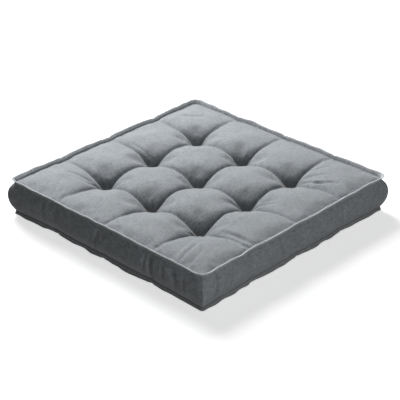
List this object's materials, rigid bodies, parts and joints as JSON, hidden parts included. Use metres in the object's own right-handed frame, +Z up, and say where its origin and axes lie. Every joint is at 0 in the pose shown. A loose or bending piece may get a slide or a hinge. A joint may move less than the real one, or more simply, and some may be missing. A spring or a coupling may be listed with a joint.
{
  "type": "floor cushion",
  "caption": "Square boxed floor cushion in grey woven fabric, tufted into a grid of puffs, with flanged edges and bellied sides.",
  "frame": {"origin": "middle of the underside, on the plane the cushion rests on", "axes": "+Z up through the thickness; X and Y square to the four equal sides, with the side at -Y called the front"},
  "size_m": [0.614, 0.614, 0.093],
  "materials": {
    "cover_fabric": "matte",
    "flange_fabric": "matte",
    "thread": "satin",
    "tufting_twine": "matte",
    "wadding": "matte",
    "fibre_filling": "matte"
  },
  "bodies": {
    "root": {"top_panel": "cover_fabric", "bottom_panel": "cover_fabric", "boxing_front": "cover_fabric", "boxing_right": "cover_fabric", "boxing_back": "cover_fabric", "boxing_left": "cover_fabric", "top_flange": "flange_fabric", "bottom_flange": "flange_fabric", "top_stitching": "thread", "bottom_stitching": "thread", "corner_thread_front_right": "thread", "corner_thread_back_right": "thread", "corner_thread_back_left": "thread", "corner_thread_front_left": "thread", "wadding_top": "wadding", "filling_core": "fibre_filling", "wadding_bottom": "wadding", "tuft_tie_1": "tufting_twine", "tuft_tie_2": "tufting_twine", "tuft_tie_3": "tufting_twine", "tuft_tie_4": "tufting_twine", "tuft_tie_5": "tufting_twine", "tuft_tie_6": "tufting_twine", "tuft_tie_7": "tufting_twine", "tuft_tie_8": "tufting_twine", "tuft_tie_9": "tufting_twine"}
  },
  "joints": []
}
